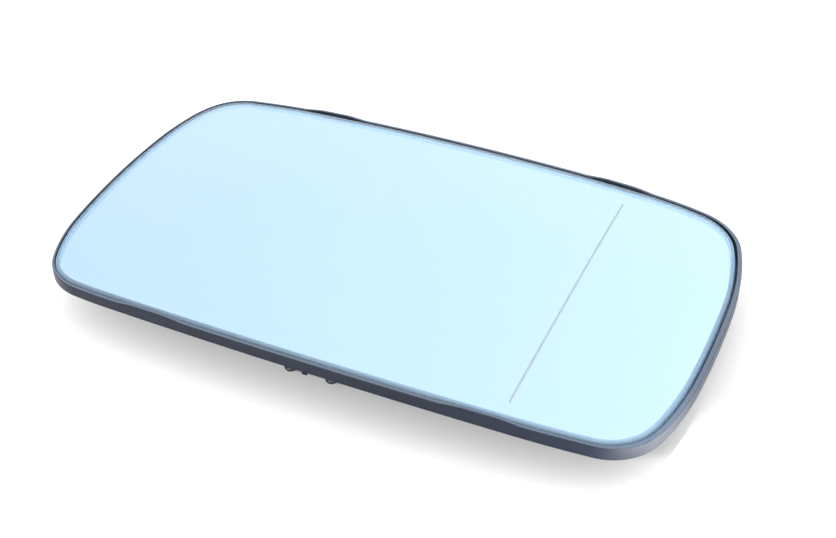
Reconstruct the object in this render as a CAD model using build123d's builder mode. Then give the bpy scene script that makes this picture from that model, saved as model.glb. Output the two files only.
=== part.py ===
from build123d import *
from math import asin, atan2, cos, degrees, radians, sin, sqrt
import os

# Door mirror glass on its carrier plate, lying on its back.
# Origin: axis of the actuator socket at the ring's rear end. +Z is the way the glass looks,
# +X runs to the outer end with the tighter curve, +Y across. Millimetres.

# --- driving dimensions -------------------------------------------------------------
CROWN = 18.0  # height of the glass front on the socket axis
R_FRONT = 1300.0  # convex radius of the main zone
LINE_X = 53.3  # where the outer zone with the growing curvature begins
OUTER_ZONE = [(830.0, 12.5), (480.0, 12.5), (340.0, 30.0)]  # radius, arc length

# glass outline: arcs that run into each other, anticlockwise from the left end
START, START_WAY = (-79.62, -23.76), -173.6  # first point and the way out there
ARCS = [  # radius, turn in degrees
    (52.2, 17.9),
    (15.2, 57.4),  # near left corner
    (129.1, 4.3),
    (847.0, 7.5),  # near side
    (207.0, 5.1),
    (14.3, 58.1),  # near right corner
    (31.6, 11.2),
    (102.1, 10.2),
    (351.0, 4.9),  # right end
    (88.5, 15.4),
    (15.9, 61.4),  # far right corner
    (121.3, 8.2),
    (853.0, 1.5),
    (2953.0, 1.5),  # far side
    (198.0, 6.6),
    (12.6, 50.9),  # far left corner
    (25.1, 18.1),
    (89.6, 10.0),
    (257.0, 9.8),  # left end
]
CLOSING = (3, 18)  # the two arcs whose radii are trimmed so that the outline closes

T_GLASS = 2.2  # pane thickness
ARRIS = 1.05  # rounded, ground edge of the pane's front
T_FOIL = 0.3  # heater foil with its adhesive
FOIL_INSET = 3.0  # foil edge inside the glass edge

SEAT = (0.2, 0.12)  # middle of the recess from the middle of the glass, which lies a little off
FRAME = (0.52, 0.07)  # middle of the rim's outer wall
RIM_GAP = 0.3  # glass edge to the rim's inner wall
RIM_OUT = 1.3  # glass edge to the rim's outer wall
RIM_LAND = 0.25  # rim top below the glass front
RIM_FOOT = 3.35  # rim foot below the glass front on the socket axis
FOOT_TILT = 0.3  # degrees, the rim grows deeper towards the outer end
RIM_ROUND = 0.28  # rounded edges of the rim's land
PLATE_INSET = 1.0  # where the thick floor begins inside the glass edge
PLATE_BACK = 4.3  # rear face of the floor below the glass front

CLIP_X = (-39.4, 49.2)  # middles of the raised clip sections on both long sides
CLIP_RISE = 0.6
CLIP_TOP = 9.0  # length of the raised part
CLIP_FOOT = 21.0  # length with its ramps
CLIP_STEP = 0.06  # set back from the rim's walls
CLIP_ROUND = 0.26

BEAD_R = 26.0  # gripping bead of the snap fingers
FINGER_IN = 26.9  # inner wall above the bead
FINGER_OUT = 29.1  # outer wall
FINGERS = 8
FINGER_SLOT = 3.0
SLOT_TOP = 9.5
BEAD_LOW, BEAD_HIGH = 0.6, 3.1

WIRE_R = 0.7  # retaining spring wire
WIRE_Z = 2.4
GROOVE_R = 0.75
EYE_X, EYE_Y = 5.73, -40.75  # middle of each eyelet, left and right
EYE_R = 1.0  # centreline radius of the eyelets
BEND_R = 3.0  # bend between the ring and its tails

FIN_X, FIN_W = -1.63, 1.4  # stop fin between the tails
FIN_FRONT, FIN_TIP = -41.65, 1.8

RIB_W = 1.4
RIB_DEPTH = 6.5  # rib crests below the glass front
BEAD_RIB = 9.0  # closed rib inside the glass edge
RIB_ANGLES = (0, 40, 90, 140, 180, 222, 318)  # straight ribs from the ring outwards
WINDOW_R = 15.0  # round opening in the middle of the floor

TERM_X, TERM_Y = 37.0, 9.0  # blade of each heater terminal
TERM_W, TERM_T = 6.3, 0.8
TERM_FOOT = 6.5
BLADE_TIP = 5.5
RIVET_X = 41.2
RIVET_R, RIVET_HOLE, RIVET_HEAD = 1.2, 0.7, 2.2
RIVET_T = 0.5

os.makedirs("parts", exist_ok=True)

# --- shared shapes --------------------------------------------------------------------
SPIN = 3.0  # half angle of the curved layers about the long axis of curvature
spin_axis = Axis((0, 0, CROWN - R_FRONT), (-1, 0, 0))
long_section = Plane(
    origin=(0, 0, CROWN - R_FRONT),
    x_dir=(1, 0, 0),
    z_dir=(0, -cos(radians(SPIN)), -sin(radians(SPIN))),
)


def layer(top, bottom):
    """Curved layer between two depths below the glass front, larger than the part."""
    start = -asin(105 / R_FRONT)
    turn = degrees(asin(LINE_X / R_FRONT) - start)
    with BuildPart() as body:
        with BuildSketch(long_section):
            with BuildLine():
                ends = []
                for depth in (top, bottom):
                    r = R_FRONT - depth
                    run = JernArc((r * sin(start), r * cos(start)), (cos(start), -sin(start)), r, -turn)
                    first = run @ 0
                    for radius, length in OUTER_ZONE:
                        run = JernArc(run @ 1, run % 1, radius - depth, -degrees(length / radius))
                    ends.append((first, run @ 1))
                Line(ends[0][0], ends[1][0])
                Line(ends[0][1], ends[1][1])
            make_face()
        revolve(axis=spin_axis, revolution_arc=2 * SPIN)
    return body.part


def way(angle):
    """Unit vector in the plan."""
    return Vector(cos(radians(angle)), sin(radians(angle)))


ways, radii = [START_WAY], []
for radius, turn in ARCS:
    ways.append(ways[-1] + turn)
    radii.append(radius)
spans = [way(b) - way(a) for a, b in zip(ways, ways[1:])]
rest = Vector()
for k, span in enumerate(spans):
    if k not in CLOSING:
        rest += span * radii[k]
one, two = (spans[k] for k in CLOSING)
cross = one.X * two.Y - one.Y * two.X
radii[CLOSING[0]] = (rest.Y * two.X - rest.X * two.Y) / cross
radii[CLOSING[1]] = (rest.X * one.Y - rest.Y * one.X) / cross
centres = [Vector(*START) - way(START_WAY) * radii[0]]
for k in range(len(ARCS) - 1):
    centres.append(centres[k] + way(ways[k + 1]) * (radii[k] - radii[k + 1]))


def outline(grow=0.0):
    """The glass outline, grown or shrunk by an even margin."""
    with BuildSketch() as face:
        with BuildLine():
            for centre, radius, a, b in zip(centres, radii, ways, ways[1:]):
                r = radius + grow
                ThreePointArc(centre + way(a) * r, centre + way((a + b) / 2) * r, centre + way(b) * r)
        make_face()
    return face.sketch


def border(faces):
    """Edges where upward faces meet upright walls."""
    walls = [e for f in faces if abs(f.normal_at().Z) < 0.2 for e in f.edges()]
    tops = [e for f in faces if f.normal_at().Z > 0.9 for e in f.edges()]
    found = []
    for e in tops:
        if any(e.is_same(w) for w in walls) and not any(e.is_same(x) for x in found):
            found.append(e)
    return found


def front_z(x, y):
    """Height of the glass front in the main zone."""
    return CROWN - (x * x + y * y) / (2 * R_FRONT)


# --- mirror glass ---------------------------------------------------------------------
with BuildPart() as mirror_glass:
    add(layer(0, T_GLASS))
    with BuildSketch():
        add(outline())
    extrude(amount=40, mode=Mode.INTERSECT)
    fillet(border(mirror_glass.faces()), ARRIS)

# --- heater foil ----------------------------------------------------------------------
with BuildPart() as heater_foil:
    add(layer(T_GLASS, T_GLASS + T_FOIL))
    with BuildSketch():
        add(outline(-FOIL_INSET))
        with Locations((RIVET_X, TERM_Y), (RIVET_X, -TERM_Y)):
            Circle(RIVET_R, mode=Mode.SUBTRACT)
    extrude(amount=40, mode=Mode.INTERSECT)

# --- carrier plate --------------------------------------------------------------------
BED = T_GLASS + T_FOIL
with BuildPart() as recess:
    add(layer(-12, BED))
    with BuildSketch():
        with Locations(SEAT):
            add(outline(RIM_GAP))
    extrude(amount=40, mode=Mode.INTERSECT)

with BuildPart() as rebate:
    with Locations(Rotation(0, FOOT_TILT, 0)):
        add(layer(RIM_FOOT, PLATE_BACK + 4))
    with BuildSketch():
        add(outline(RIM_OUT + 4))
        add(outline(-PLATE_INSET), mode=Mode.SUBTRACT)
    extrude(amount=40, mode=Mode.INTERSECT)

with BuildPart() as clips:
    with BuildSketch(Plane.XZ) as ramps:
        for x in CLIP_X:
            foot, top = CLIP_FOOT / 2, CLIP_TOP / 2
            land = {d: front_z(x + d, 52.0) - RIM_LAND for d in (-foot, -top, top, foot)}
            with BuildLine():
                Polyline(
                    (x - foot, land[-foot] - 1.5),
                    (x - foot, land[-foot] - 0.05),
                    (x - top, land[-top] + CLIP_RISE),
                    (x + top, land[top] + CLIP_RISE),
                    (x + foot, land[foot] - 0.05),
                    (x + foot, land[foot] - 1.5),
                    close=True,
                )
            make_face()
            for d in (-top, top):
                fillet(ramps.vertices().sort_by_distance((x + d, land[d] + CLIP_RISE, 0))[0], 22)
    extrude(amount=70, both=True)
    with BuildSketch():
        with Locations(FRAME):
            add(outline(RIM_OUT - CLIP_STEP))
        with Locations(SEAT):
            add(outline(RIM_GAP + CLIP_STEP), mode=Mode.SUBTRACT)
    extrude(amount=40, mode=Mode.INTERSECT)
    fillet([e for e in border(clips.faces()) if abs((e % 0.5).X) > 0.7], CLIP_ROUND)

with BuildPart() as spokes:
    add(layer(PLATE_BACK - 0.4, RIB_DEPTH))
    with BuildSketch():
        for angle in RIB_ANGLES:
            with Locations(Rotation(0, 0, angle)):
                with Locations((60, 0)):
                    Rectangle(64, RIB_W)
        add(outline(-BEAD_RIB - RIB_W / 2), mode=Mode.INTERSECT)
    extrude(amount=40, mode=Mode.INTERSECT)

with BuildPart() as edge_rib:
    add(layer(PLATE_BACK - 0.7, RIB_DEPTH - 0.5))
    with BuildSketch():
        add(outline(-BEAD_RIB))
        add(outline(-BEAD_RIB - RIB_W), mode=Mode.SUBTRACT)
    extrude(amount=40, mode=Mode.INTERSECT)

with BuildPart() as socket_ring:
    with BuildSketch(Plane.XZ):
        with BuildLine():
            Polyline(
                (FINGER_OUT, CROWN - PLATE_BACK + 0.9),
                (FINGER_OUT, 0.5),
                (FINGER_OUT - 0.5, 0),
                (FINGER_IN, 0),
                (BEAD_R, BEAD_LOW),
                (BEAD_R, BEAD_HIGH),
                (FINGER_IN, BEAD_HIGH + 0.9),
                (FINGER_IN, CROWN - PLATE_BACK + 0.9),
                close=True,
            )
        make_face()
        with Locations((FINGER_OUT, WIRE_Z)):
            Circle(GROOVE_R, mode=Mode.SUBTRACT)
    revolve(axis=Axis.Z)
    with BuildSketch():
        with PolarLocations(FINGER_OUT, FINGERS, start_angle=22.5):
            Rectangle(12, FINGER_SLOT)
    extrude(amount=SLOT_TOP, mode=Mode.SUBTRACT)

with BuildPart() as carrier_plate:
    add(layer(RIM_LAND, PLATE_BACK))
    with BuildSketch():
        with Locations(FRAME):
            add(outline(RIM_OUT))
    extrude(amount=40, mode=Mode.INTERSECT)
    add(rebate.part, mode=Mode.SUBTRACT)
    add(recess.part, mode=Mode.SUBTRACT)
    land_edges = [
        e
        for e in border(carrier_plate.faces())
        if front_z(e.center().X, e.center().Y) - (e @ 0.5).Z < RIM_LAND + 1.0
    ]
    fillet(land_edges, RIM_ROUND)
    add(clips.part)
    add(spokes.part)
    add(edge_rib.part)
    add(socket_ring.part)
    with BuildSketch(Plane.YZ.offset(FIN_X)):
        with BuildLine():
            Polyline(
                (FIN_FRONT, CROWN - PLATE_BACK),
                (FIN_FRONT, FIN_TIP),
                (FIN_FRONT + 2.0, FIN_TIP),
                (FIN_FRONT + 7.5, CROWN - PLATE_BACK),
                close=True,
            )
        make_face()
    extrude(amount=FIN_W / 2, both=True)
    with BuildSketch():
        Circle(WINDOW_R)
        with Locations((TERM_X + 3.0, TERM_Y), (TERM_X + 3.0, -TERM_Y)):
            RectangleRounded(10.0, 9.0, 1.0)
    extrude(amount=40, mode=Mode.SUBTRACT)


# --- heater terminals -----------------------------------------------------------------
def terminal(y):
    """Blade terminal: a foot against the foil and a blade that stands down from it."""
    with BuildPart() as body:
        add(layer(BED, BED + TERM_T))
        with BuildSketch():
            with Locations((TERM_X + TERM_FOOT / 2, y)):
                Rectangle(TERM_FOOT, TERM_W)
            with Locations((RIVET_X, y)):
                Circle(RIVET_R, mode=Mode.SUBTRACT)
        extrude(amount=40, mode=Mode.INTERSECT)
        with BuildSketch(Plane.YZ.offset(TERM_X)):
            with BuildLine():
                Polyline(
                    (y - TERM_W / 2, CROWN - BED - 1.3),
                    (y - TERM_W / 2, BLADE_TIP + 1.2),
                    (y - TERM_W / 2 + 1.0, BLADE_TIP),
                    (y + TERM_W / 2 - 1.0, BLADE_TIP),
                    (y + TERM_W / 2, BLADE_TIP + 1.2),
                    (y + TERM_W / 2, CROWN - BED - 1.3),
                    close=True,
                )
            make_face()
            with Locations((y, BLADE_TIP + 4.0)):
                Circle(0.8, mode=Mode.SUBTRACT)
        extrude(amount=TERM_T)
    return body.part


heater_terminal_a = terminal(TERM_Y)
heater_terminal_b = terminal(-TERM_Y)


# --- rivets ---------------------------------------------------------------------------
def rivet(y):
    """Tubular rivet through the foil and a terminal's foot, rolled over behind the foot."""
    with BuildPart() as body:
        add(layer(T_GLASS, BED + TERM_T))
        with BuildSketch():
            with Locations((RIVET_X, y)):
                Circle(RIVET_R)
        extrude(amount=40, mode=Mode.INTERSECT)
    with BuildPart() as head:
        add(layer(BED + TERM_T, BED + TERM_T + RIVET_T))
        with BuildSketch():
            with Locations((RIVET_X, y)):
                Circle(RIVET_HEAD)
        extrude(amount=40, mode=Mode.INTERSECT)
    with BuildPart() as whole:
        add(body.part)
        add(head.part)
        with BuildSketch():
            with Locations((RIVET_X, y)):
                Circle(RIVET_HOLE)
        extrude(amount=40, mode=Mode.SUBTRACT)
    return whole.part


with BuildPart() as terminal_rivets:
    add(rivet(TERM_Y))
    add(rivet(-TERM_Y))

# --- retaining spring -----------------------------------------------------------------
tail_x = EYE_X - EYE_R
bend_x = tail_x + BEND_R
bend_y = -sqrt((FINGER_OUT + BEND_R) ** 2 - bend_x**2)
meet = degrees(atan2(-bend_y, bend_x))  # where the ring leaves the fingers
with BuildPart() as retaining_spring:
    with BuildLine(Plane.XY.offset(WIRE_Z)) as run:
        CenterArc((EYE_X, EYE_Y), EYE_R, 90, -270)
        Line((tail_x, EYE_Y), (tail_x, bend_y))
        CenterArc((bend_x, bend_y), BEND_R, 180, -meet)
        CenterArc((0, 0), FINGER_OUT, -meet, 180 + 2 * meet)
        CenterArc((-bend_x, bend_y), BEND_R, 180 - (180 - meet), -meet)
        Line((-tail_x, bend_y), (-tail_x, EYE_Y))
        CenterArc((-EYE_X, EYE_Y), EYE_R, 0, -270)
    wire = run.wires()[0]
    with BuildSketch(Plane(origin=wire @ 0, z_dir=wire % 0)):
        Circle(WIRE_R)
    sweep(path=wire)

pieces = {
    "mirror_glass": mirror_glass.part,
    "heater_foil": heater_foil.part,
    "carrier_plate": carrier_plate.part,
    "heater_terminal_a": heater_terminal_a,
    "heater_terminal_b": heater_terminal_b,
    "terminal_rivets": terminal_rivets.part,
    "retaining_spring": retaining_spring.part,
}
for name, piece in pieces.items():
    piece.label = name
    export_step(piece, f"parts/{name}.step")
    box = piece.bounding_box()
    print(name, "solids", len(piece.solids()), "volume", round(piece.volume, 1), "z", round(box.min.Z, 3), round(box.max.Z, 3))
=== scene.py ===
import math

import bmesh
import bpy
import numpy as np
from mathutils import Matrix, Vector


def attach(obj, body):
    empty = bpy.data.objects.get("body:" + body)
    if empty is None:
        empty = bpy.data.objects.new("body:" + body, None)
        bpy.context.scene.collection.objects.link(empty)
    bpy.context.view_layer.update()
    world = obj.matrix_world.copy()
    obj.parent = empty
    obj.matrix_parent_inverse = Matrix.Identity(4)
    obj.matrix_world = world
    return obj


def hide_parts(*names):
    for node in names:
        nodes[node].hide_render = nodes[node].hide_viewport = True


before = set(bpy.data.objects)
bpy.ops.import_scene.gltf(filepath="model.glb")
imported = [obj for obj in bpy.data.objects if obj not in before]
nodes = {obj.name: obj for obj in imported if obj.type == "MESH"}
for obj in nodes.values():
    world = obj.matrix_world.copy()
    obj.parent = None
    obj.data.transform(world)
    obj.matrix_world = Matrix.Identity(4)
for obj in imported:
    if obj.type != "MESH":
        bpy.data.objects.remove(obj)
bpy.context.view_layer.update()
scene = bpy.context.scene
MM = 0.001

# --- the pane's shape, the same numbers as its solid, in millimetres ---------------------------
CROWN, R_FRONT, LINE_X = 18.0, 1300.0, 53.3
OUTER_ZONE = [(830.0, 12.5), (480.0, 12.5), (340.0, 30.0)]
START, START_WAY = (-79.62, -23.76), -173.6  # first point of the outline and the way out there
OUTLINE_ARCS = [  # radius and turn in degrees, anticlockwise from the left end
    (52.2, 17.9),
    (15.2, 57.4),
    (129.1, 4.3),
    (847.0, 7.5),
    (207.0, 5.1),
    (14.3, 58.1),
    (31.6, 11.2),
    (102.1, 10.2),
    (351.0, 4.9),
    (88.5, 15.4),
    (15.9, 61.4),
    (121.3, 8.2),
    (853.0, 1.5),
    (2953.0, 1.5),
    (198.0, 6.6),
    (12.6, 50.9),
    (25.1, 18.1),
    (89.6, 10.0),
    (257.0, 9.8),
]
CLOSING = (3, 18)  # the arcs whose radii close the outline
T_SHOWN = 2.12  # the coating lies just clear of the foil below it
ARRIS = 1.05  # rounded, ground front edge
BACK_ARRIS = 0.15
LINE_ENDS = ((53.71, -43.7), (52.64, 43.2))  # the dividing line, where the coating is left out
LINE_W = 0.6


def section_arcs():
    """Arcs of the long section: centre x, centre height above the axis, radius, start and end angle."""
    angle = math.asin(LINE_X / R_FRONT)
    arcs = [(0.0, 0.0, R_FRONT, -0.2, angle)]
    cx, cz, radius = 0.0, 0.0, R_FRONT
    for r, length in OUTER_ZONE:
        cx += (radius - r) * math.sin(angle)
        cz += (radius - r) * math.cos(angle)
        arcs.append((cx, cz, r, angle, angle + length / r))
        radius, angle = r, angle + length / r
    return arcs


ARCS = section_arcs()


def surface(x, y, depth):
    """Height of the layer that lies this far below the glass front."""
    x, y = np.asarray(x, float), np.asarray(y, float)
    rho = np.zeros_like(x)
    for cx, cz, r, a0, a1 in ARCS:
        here = x >= cx + (r - depth) * math.sin(a0) - 1e-9
        inside = np.maximum((r - depth) ** 2 - (x - cx) ** 2, 0.0)
        rho = np.where(here, cz + np.sqrt(inside), rho)
    return np.sqrt(rho**2 - y**2) + CROWN - R_FRONT


def way(angle):
    return np.array([math.cos(math.radians(angle)), math.sin(math.radians(angle))])


def glass_outline():
    """Points of the glass outline, anticlockwise, and the way out at each."""
    ways = START_WAY + np.cumsum([0.0] + [turn for radius, turn in OUTLINE_ARCS])
    radii = [radius for radius, turn in OUTLINE_ARCS]
    spans = [way(b) - way(a) for a, b in zip(ways, ways[1:])]
    rest = sum(radii[k] * span for k, span in enumerate(spans) if k not in CLOSING)
    one, two = CLOSING
    radii[one], radii[two] = np.linalg.solve(np.column_stack([spans[one], spans[two]]), -rest)
    centre = np.array(START) - way(START_WAY) * radii[0]
    points, outs = [], []
    for k, radius in enumerate(radii):
        turn = ways[k + 1] - ways[k]
        count = math.ceil(max(turn / 2.0, radius * math.radians(turn) / 1.4))
        for angle in np.linspace(ways[k], ways[k + 1], count, endpoint=False):
            points.append(centre + radius * way(angle))
            outs.append(way(angle))
        if k + 1 < len(radii):
            centre = centre + way(ways[k + 1]) * (radius - radii[k + 1])
    return np.array(points), np.array(outs)


OUTLINE, WAYS = glass_outline()
COUNT = len(OUTLINE)


# --- materials ---------------------------------------------------------------------------------
def material(name):
    """A new node material: its tree, its shader and a helper that adds nodes."""
    mat = bpy.data.materials.new(name)
    mat.use_nodes = True
    tree = mat.node_tree
    shader = next(n for n in tree.nodes if n.type == "BSDF_PRINCIPLED")

    def add(kind, **settings):
        node = tree.nodes.new(kind)
        for key, value in settings.items():
            if key in node.inputs:
                node.inputs[key].default_value = value
            else:
                setattr(node, key, value)
        return node

    return mat, tree.links, shader, add


def object_noise(add, links, scale, detail=2.0, rough=0.5):
    """Noise in metres of the object's own frame."""
    where = add("ShaderNodeTexCoord")
    noise = add("ShaderNodeTexNoise", Scale=scale, Detail=detail, Roughness=rough)
    links.new(where.outputs["Object"], noise.inputs["Vector"])
    return noise


def ramp(add, links, source, stops):
    node = add("ShaderNodeValToRGB")
    elements = node.color_ramp.elements
    for at, colour in stops[1:-1]:
        elements.new(at)
    for element, (at, colour) in zip(elements, stops):
        element.position = at
        element.color = (*colour, 1.0)
    links.new(source, node.inputs["Fac"])
    return node


def grade(add, links, source, low, high, start=0.3, end=0.7):
    node = add("ShaderNodeMapRange")
    node.inputs["From Min"].default_value = start
    node.inputs["From Max"].default_value = end
    node.inputs["To Min"].default_value = low
    node.inputs["To Max"].default_value = high
    links.new(source, node.inputs["Value"])
    return node


def bump(add, links, source, shader, strength, distance):
    node = add("ShaderNodeBump", Strength=strength, Distance=distance)
    links.new(source, node.inputs["Height"])
    links.new(node.outputs["Normal"], shader.inputs["Normal"])
    return node


def pane_clear():
    mat, links, shader, add = material("pane_clear")
    shader.inputs["Base Color"].default_value = (1.0, 1.0, 1.0, 1.0)
    shader.inputs["Transmission Weight"].default_value = 1.0
    shader.inputs["IOR"].default_value = 1.52
    shader.inputs["Roughness"].default_value = 0.0
    return mat


def pane_ground():
    """The ground edge: frosted glass."""
    mat, links, shader, add = material("pane_ground_edge")
    shader.inputs["Base Color"].default_value = (0.68, 0.86, 1.0, 1.0)
    shader.inputs["Transmission Weight"].default_value = 0.95
    shader.inputs["IOR"].default_value = 1.52
    shader.inputs["Roughness"].default_value = 0.76
    return mat


def pane_coating():
    mat, links, shader, add = material("blue_mirror_coating")
    shader.inputs["Metallic"].default_value = 1.0
    cloud = object_noise(add, links, 14.0, 1.0)
    tint = ramp(add, links, cloud.outputs["Fac"], [(0.30, (0.290, 0.425, 0.545)), (0.70, (0.296, 0.431, 0.549))])
    links.new(tint.outputs["Color"], shader.inputs["Base Color"])
    shader.inputs["Roughness"].default_value = 0.03
    return mat


def pane_line():
    mat, links, shader, add = material("etched_line")
    grain = object_noise(add, links, 2200.0, 2.0)
    tone = ramp(add, links, grain.outputs["Fac"], [(0.3, (0.39, 0.52, 0.57)), (0.7, (0.43, 0.56, 0.61))])
    links.new(tone.outputs["Color"], shader.inputs["Base Color"])
    shader.inputs["Roughness"].default_value = 0.6
    return mat


def moulded_plastic():
    """Blue-black moulding with painted light: paler where it faces up, as if lit from above, and painted a lighter,
    speckled grey where it faces down so the shaded underside still reads.
    """
    mat, links, shader, add = material("black_moulded_plastic")
    grain = object_noise(add, links, 2600.0, 3.0, 0.6)
    cloud = object_noise(add, links, 60.0, 3.0)
    tone = ramp(add, links, cloud.outputs["Fac"], [(0.25, (0.003, 0.006, 0.014)), (0.75, (0.005, 0.009, 0.020))])
    where = add("ShaderNodeTexCoord")
    facing = add("ShaderNodeSeparateXYZ")
    links.new(where.outputs["Normal"], facing.inputs["Vector"])
    # painted light: faces that point up are mixed towards a paler blue-grey, as if lit from above
    painted_top_light = grade(add, links, facing.outputs["Z"], 0.0, 1.0, 0.70, 0.97)
    top_lit_tone = add("ShaderNodeMix", data_type="RGBA")
    links.new(painted_top_light.outputs["Result"], top_lit_tone.inputs["Factor"])
    links.new(tone.outputs["Color"], top_lit_tone.inputs["A"])
    top_lit_tone.inputs["B"].default_value = (0.060, 0.083, 0.123, 1.0)
    # painted light: faces that point down are mixed towards a lighter speckled grey so the shaded underside still
    # reads
    painted_underside_light = grade(add, links, facing.outputs["Z"], 1.0, 0.0, -0.97, -0.70)
    back = add("ShaderNodeMix", data_type="RGBA")
    links.new(painted_underside_light.outputs["Result"], back.inputs["Factor"])
    links.new(top_lit_tone.outputs["Result"], back.inputs["A"])
    spark = object_noise(add, links, 1400.0, 4.0, 0.7)
    painted_underside_grey = ramp(add, links, spark.outputs["Fac"], [(0.35, (0.013, 0.015, 0.018)), (0.65, (0.028, 0.030, 0.034))])
    links.new(painted_underside_grey.outputs["Color"], back.inputs["B"])
    links.new(back.outputs["Result"], shader.inputs["Base Color"])
    rough = grade(add, links, grain.outputs["Fac"], 0.30, 0.46)
    links.new(rough.outputs["Result"], shader.inputs["Roughness"])
    shader.inputs["Specular IOR Level"].default_value = 0.25
    bump(add, links, grain.outputs["Fac"], shader, 0.18, 0.00006)
    return mat


def heater_film():
    """Film with a printed track that runs to and fro."""
    mat, links, shader, add = material("heater_film")
    where = add("ShaderNodeTexCoord")
    wave = add("ShaderNodeTexWave", Scale=40.0, Distortion=0.0)
    wave.bands_direction = "Y"
    links.new(where.outputs["Object"], wave.inputs["Vector"])
    track = grade(add, links, wave.outputs["Fac"], 0.0, 1.0, 0.44, 0.52)
    tone = add("ShaderNodeMix", data_type="RGBA")
    tone.inputs["A"].default_value = (0.30, 0.115, 0.022, 1.0)
    links.new(track.outputs["Result"], tone.inputs["Factor"])
    speck = object_noise(add, links, 900.0, 2.0)
    metal = ramp(add, links, speck.outputs["Fac"], [(0.3, (0.30, 0.30, 0.31)), (0.7, (0.42, 0.42, 0.43))])
    links.new(metal.outputs["Color"], tone.inputs["B"])
    links.new(tone.outputs["Result"], shader.inputs["Base Color"])
    links.new(track.outputs["Result"], shader.inputs["Metallic"])
    shader.inputs["Roughness"].default_value = 0.36
    bump(add, links, track.outputs["Result"], shader, 0.4, 0.00005)
    return mat


def sheet_metal(name, dark, light, rough_low, rough_high):
    mat, links, shader, add = material(name)
    shader.inputs["Metallic"].default_value = 1.0
    where = add("ShaderNodeTexCoord")
    stretch = add("ShaderNodeMapping")
    stretch.inputs["Scale"].default_value = (1.0, 1.0, 0.08)
    links.new(where.outputs["Object"], stretch.inputs["Vector"])
    grain = add("ShaderNodeTexNoise", Scale=3500.0, Detail=3.0)
    links.new(stretch.outputs["Vector"], grain.inputs["Vector"])
    tone = ramp(add, links, grain.outputs["Fac"], [(0.3, dark), (0.7, light)])
    links.new(tone.outputs["Color"], shader.inputs["Base Color"])
    rough = grade(add, links, grain.outputs["Fac"], rough_low, rough_high)
    links.new(rough.outputs["Result"], shader.inputs["Roughness"])
    bump(add, links, grain.outputs["Fac"], shader, 0.12, 0.00004)
    return mat


# --- the pane ----------------------------------------------------------------------------------
def ring(grow, depth):
    """One loop of the pane, this far outside the outline and below the front, in metres."""
    flat = OUTLINE + WAYS * grow
    return np.column_stack([flat, surface(flat[:, 0], flat[:, 1], depth)]) * MM


def inner_ring(share, depth):
    middle = OUTLINE.mean(0)
    flat = middle + (OUTLINE - WAYS * 8.0 - middle) * share
    return np.column_stack([flat, surface(flat[:, 0], flat[:, 1], depth)]) * MM


def edge_section():
    """Loops round the ground edge from the front to the back: how far outside the outline and how deep."""
    quarter = np.linspace(0, math.pi / 2, 11)
    section = [(-ARRIS + ARRIS * math.sin(a), ARRIS - ARRIS * math.cos(a)) for a in quarter]
    section += [(0.0, 1.35), (0.0, 1.65)]
    low = T_SHOWN - BACK_ARRIS
    return section + [(-BACK_ARRIS + BACK_ARRIS * math.cos(a), low + BACK_ARRIS * math.sin(a)) for a in quarter[::2]]


def build_pane():
    """The clear pane with its ground edge and its coated back, closed."""
    bm = bmesh.new()
    slots = {"clear": 0, "ground": 1, "coating": 2, "line": 3}

    def band(loops, kinds):
        rows = [[bm.verts.new(p) for p in loop] for loop in loops]
        for row, follow, kind in zip(rows, rows[1:], kinds):
            for i in range(COUNT):
                j = (i + 1) % COUNT
                face = bm.faces.new((row[i], follow[i], follow[j], row[j]))
                face.material_index = slots[kind]
                face.smooth = True
        return rows

    inner = (0.08, 0.2, 0.32, 0.44, 0.56, 0.68, 0.8, 0.9, 1.0)
    loops = [inner_ring(share, 0.0) for share in inner]
    loops += [ring(grow, 0.0) for grow in (-6.0, -4.5, -3.2, -2.2, -1.6, -1.25)]
    kinds = ["clear"] * len(loops)
    edge = edge_section()
    loops += [ring(grow, depth) for grow, depth in edge]
    kinds += ["ground"] * (len(edge) - 1) + ["coating"]
    loops += [ring(grow, T_SHOWN) for grow in (-0.7, -1.4, -2.6, -5.0)] + [inner_ring(share, T_SHOWN) for share in inner[::-1]]
    kinds += ["coating"] * (len(loops) - len(kinds))
    rows = band(loops, kinds)
    middle = OUTLINE.mean(0)
    for row, depth, kind, flip in ((rows[0], 0.0, "clear", False), (rows[-1], T_SHOWN, "coating", True)):
        hub = bm.verts.new((*(middle * MM), float(surface(middle[0], middle[1], depth)) * MM))
        for i in range(COUNT):
            j = (i + 1) % COUNT
            face = bm.faces.new((hub, row[j], row[i]) if flip else (hub, row[i], row[j]))
            face.material_index = slots[kind]
            face.smooth = True

    bm.normal_update()

    # the dividing line is cut into the coated back as its own narrow faces
    a, b = (Vector((*p, 0.0)) * MM for p in LINE_ENDS)
    along = (b - a).normalized()
    across = Vector((along.y, -along.x, 0.0))
    half = LINE_W / 2 * MM

    def cut(point, normal, wanted):
        faces = [f for f in bm.faces if f.material_index == slots["coating"] and wanted(f)]
        edges = {e for f in faces for e in f.edges}
        verts = {v for f in faces for v in f.verts}
        bmesh.ops.bisect_plane(bm, geom=[*verts, *edges, *faces], dist=1e-8, plane_co=point, plane_no=normal)
        bm.normal_update()

    near_line = lambda f: any(abs((v.co - a).dot(across)) < 12 * MM for v in f.verts)
    cut(a + across * half, across, near_line)
    cut(a - across * half, across, near_line)
    in_strip = lambda f: abs((f.calc_center_median() - a).dot(across)) < half
    cut(a, along, in_strip)
    cut(b, along, in_strip)
    for face in bm.faces:
        if face.material_index == slots["coating"]:
            centre = face.calc_center_median() - a
            if abs(centre.dot(across)) < half and 0 < centre.dot(along) < (b - a).length:
                face.material_index = slots["line"]
    mesh = bpy.data.meshes.new("mirror_pane")
    bm.to_mesh(mesh)
    bm.free()
    for mat in (pane_clear(), pane_ground(), pane_coating(), pane_line()):
        mesh.materials.append(mat)
    pane = bpy.data.objects.new("mirror_pane", mesh)
    scene.collection.objects.link(pane)
    return pane


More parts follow.
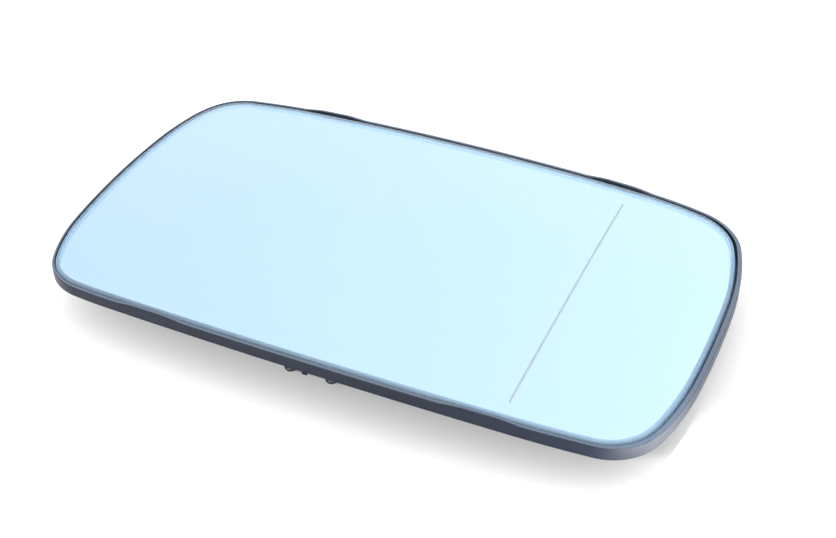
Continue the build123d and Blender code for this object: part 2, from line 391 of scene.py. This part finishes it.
pane = build_pane()
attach(pane, "root")
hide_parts("mirror_glass")


# --- finishes of the other pieces --------------------------------------------------------------
def finish(node, mat):
    mesh = nodes[node].data
    mesh.materials.clear()
    mesh.materials.append(mat)


finish("carrier_plate", moulded_plastic())
finish("heater_foil", heater_film())
tinned = sheet_metal("tinned_brass", (0.60, 0.56, 0.48), (0.74, 0.71, 0.64), 0.26, 0.40)
finish("heater_terminal_a", tinned)
finish("heater_terminal_b", tinned)
finish("terminal_rivets", sheet_metal("brass", (0.62, 0.44, 0.17), (0.76, 0.56, 0.26), 0.24, 0.38))
finish("retaining_spring", sheet_metal("blackened_spring_steel", (0.030, 0.031, 0.034), (0.065, 0.066, 0.070), 0.32, 0.46))

# --- floor, surroundings, light, camera --------------------------------------------------------
floor_mesh = bpy.data.meshes.new("floor")
floor_mesh.from_pydata([(-3, -3, 0), (3, -3, 0), (3, 3, 0), (-3, 3, 0)], [], [(0, 1, 2, 3)])
floor = bpy.data.objects.new("floor", floor_mesh)
scene.collection.objects.link(floor)
paper, links, shader, add = material("white_paper")
shader.inputs["Base Color"].default_value = (0.70, 0.70, 0.70, 1.0)
shader.inputs["Roughness"].default_value = 0.9
shader.inputs["Specular IOR Level"].default_value = 0.1
floor_mesh.materials.append(paper)

world = bpy.data.worlds.new("studio")
scene.world = world
world.use_nodes = True
tree = world.node_tree
background = next(n for n in tree.nodes if n.type == "BACKGROUND")
where = tree.nodes.new("ShaderNodeTexCoord")
dot = tree.nodes.new("ShaderNodeVectorMath")
dot.operation = "DOT_PRODUCT"
dot.inputs[1].default_value = (0.656, 0.0, -0.168)
tree.links.new(where.outputs["Generated"], dot.inputs[0])
total = tree.nodes.new("ShaderNodeMath")
total.operation = "ADD"
total.inputs[1].default_value = 2.325
tree.links.new(dot.outputs["Value"], total.inputs[0])
limit = tree.nodes.new("ShaderNodeClamp")
limit.inputs["Min"].default_value = 1.5
limit.inputs["Max"].default_value = 2.7
tree.links.new(total.outputs["Value"], limit.inputs["Value"])
apart = tree.nodes.new("ShaderNodeSeparateXYZ")
tree.links.new(where.outputs["Generated"], apart.inputs["Vector"])
side = tree.nodes.new("ShaderNodeMapRange")
for socket, value in (("From Min", -0.25), ("From Max", 0.30), ("To Min", 0.75), ("To Max", 1.0)):
    side.inputs[socket].default_value = value
tree.links.new(apart.outputs["Y"], side.inputs["Value"])
shade = tree.nodes.new("ShaderNodeMath")
shade.operation = "MULTIPLY"
tree.links.new(limit.outputs["Result"], shade.inputs[0])
tree.links.new(side.outputs["Result"], shade.inputs[1])
tree.links.new(shade.outputs["Value"], background.inputs["Strength"])
background.inputs["Color"].default_value = (1.0, 1.0, 1.0, 1.0)


def area_light(name, place, aim, size, watts):
    data = bpy.data.lights.new(name, "AREA")
    data.shape = "DISK"
    data.size = size
    data.energy = watts
    light = bpy.data.objects.new(name, data)
    light.location = place
    light.rotation_euler = (Vector(aim) - Vector(place)).to_track_quat("-Z", "Y").to_euler()
    scene.collection.objects.link(light)
    return light


def soft_spot(name, place, aim, size, cone, watts):
    data = bpy.data.lights.new(name, "SPOT")
    data.spot_size = math.radians(cone)
    data.spot_blend = 1.0
    data.shadow_soft_size = size
    data.energy = watts
    light = bpy.data.objects.new(name, data)
    light.location = place
    light.rotation_euler = (Vector(aim) - Vector(place)).to_track_quat("-Z", "Y").to_euler()
    scene.collection.objects.link(light)
    return light


area_light("front", (-0.32, -1.12, 0.72), (0.0, 0.0, 0.0), 0.20, 13.3)
soft_spot("right", (0.182, -0.074, 1.0), (0.182, -0.074, 0.0), 0.02, 11.0, 2600.0)

scene.view_settings.view_transform = "Standard"
scene.view_settings.look = "None"

data = bpy.data.cameras.new("camera")
data.sensor_fit = "HORIZONTAL"
data.sensor_width = 36.0
data.lens = 1500.0 / 836.0 * 36.0
data.clip_start = 0.01
camera = bpy.data.objects.new("camera", data)
target = Vector((15.10136, -9.59098, 18.0)) * MM
turn, lift = math.radians(24.34868), math.radians(37.3)
camera.location = target + 382.62834 * MM * Vector(
    (math.sin(turn) * math.cos(lift), -math.cos(turn) * math.cos(lift), math.sin(lift))
)
camera.rotation_euler = (target - camera.location).to_track_quat("-Z", "Y").to_euler()
scene.collection.objects.link(camera)
scene.camera = camera
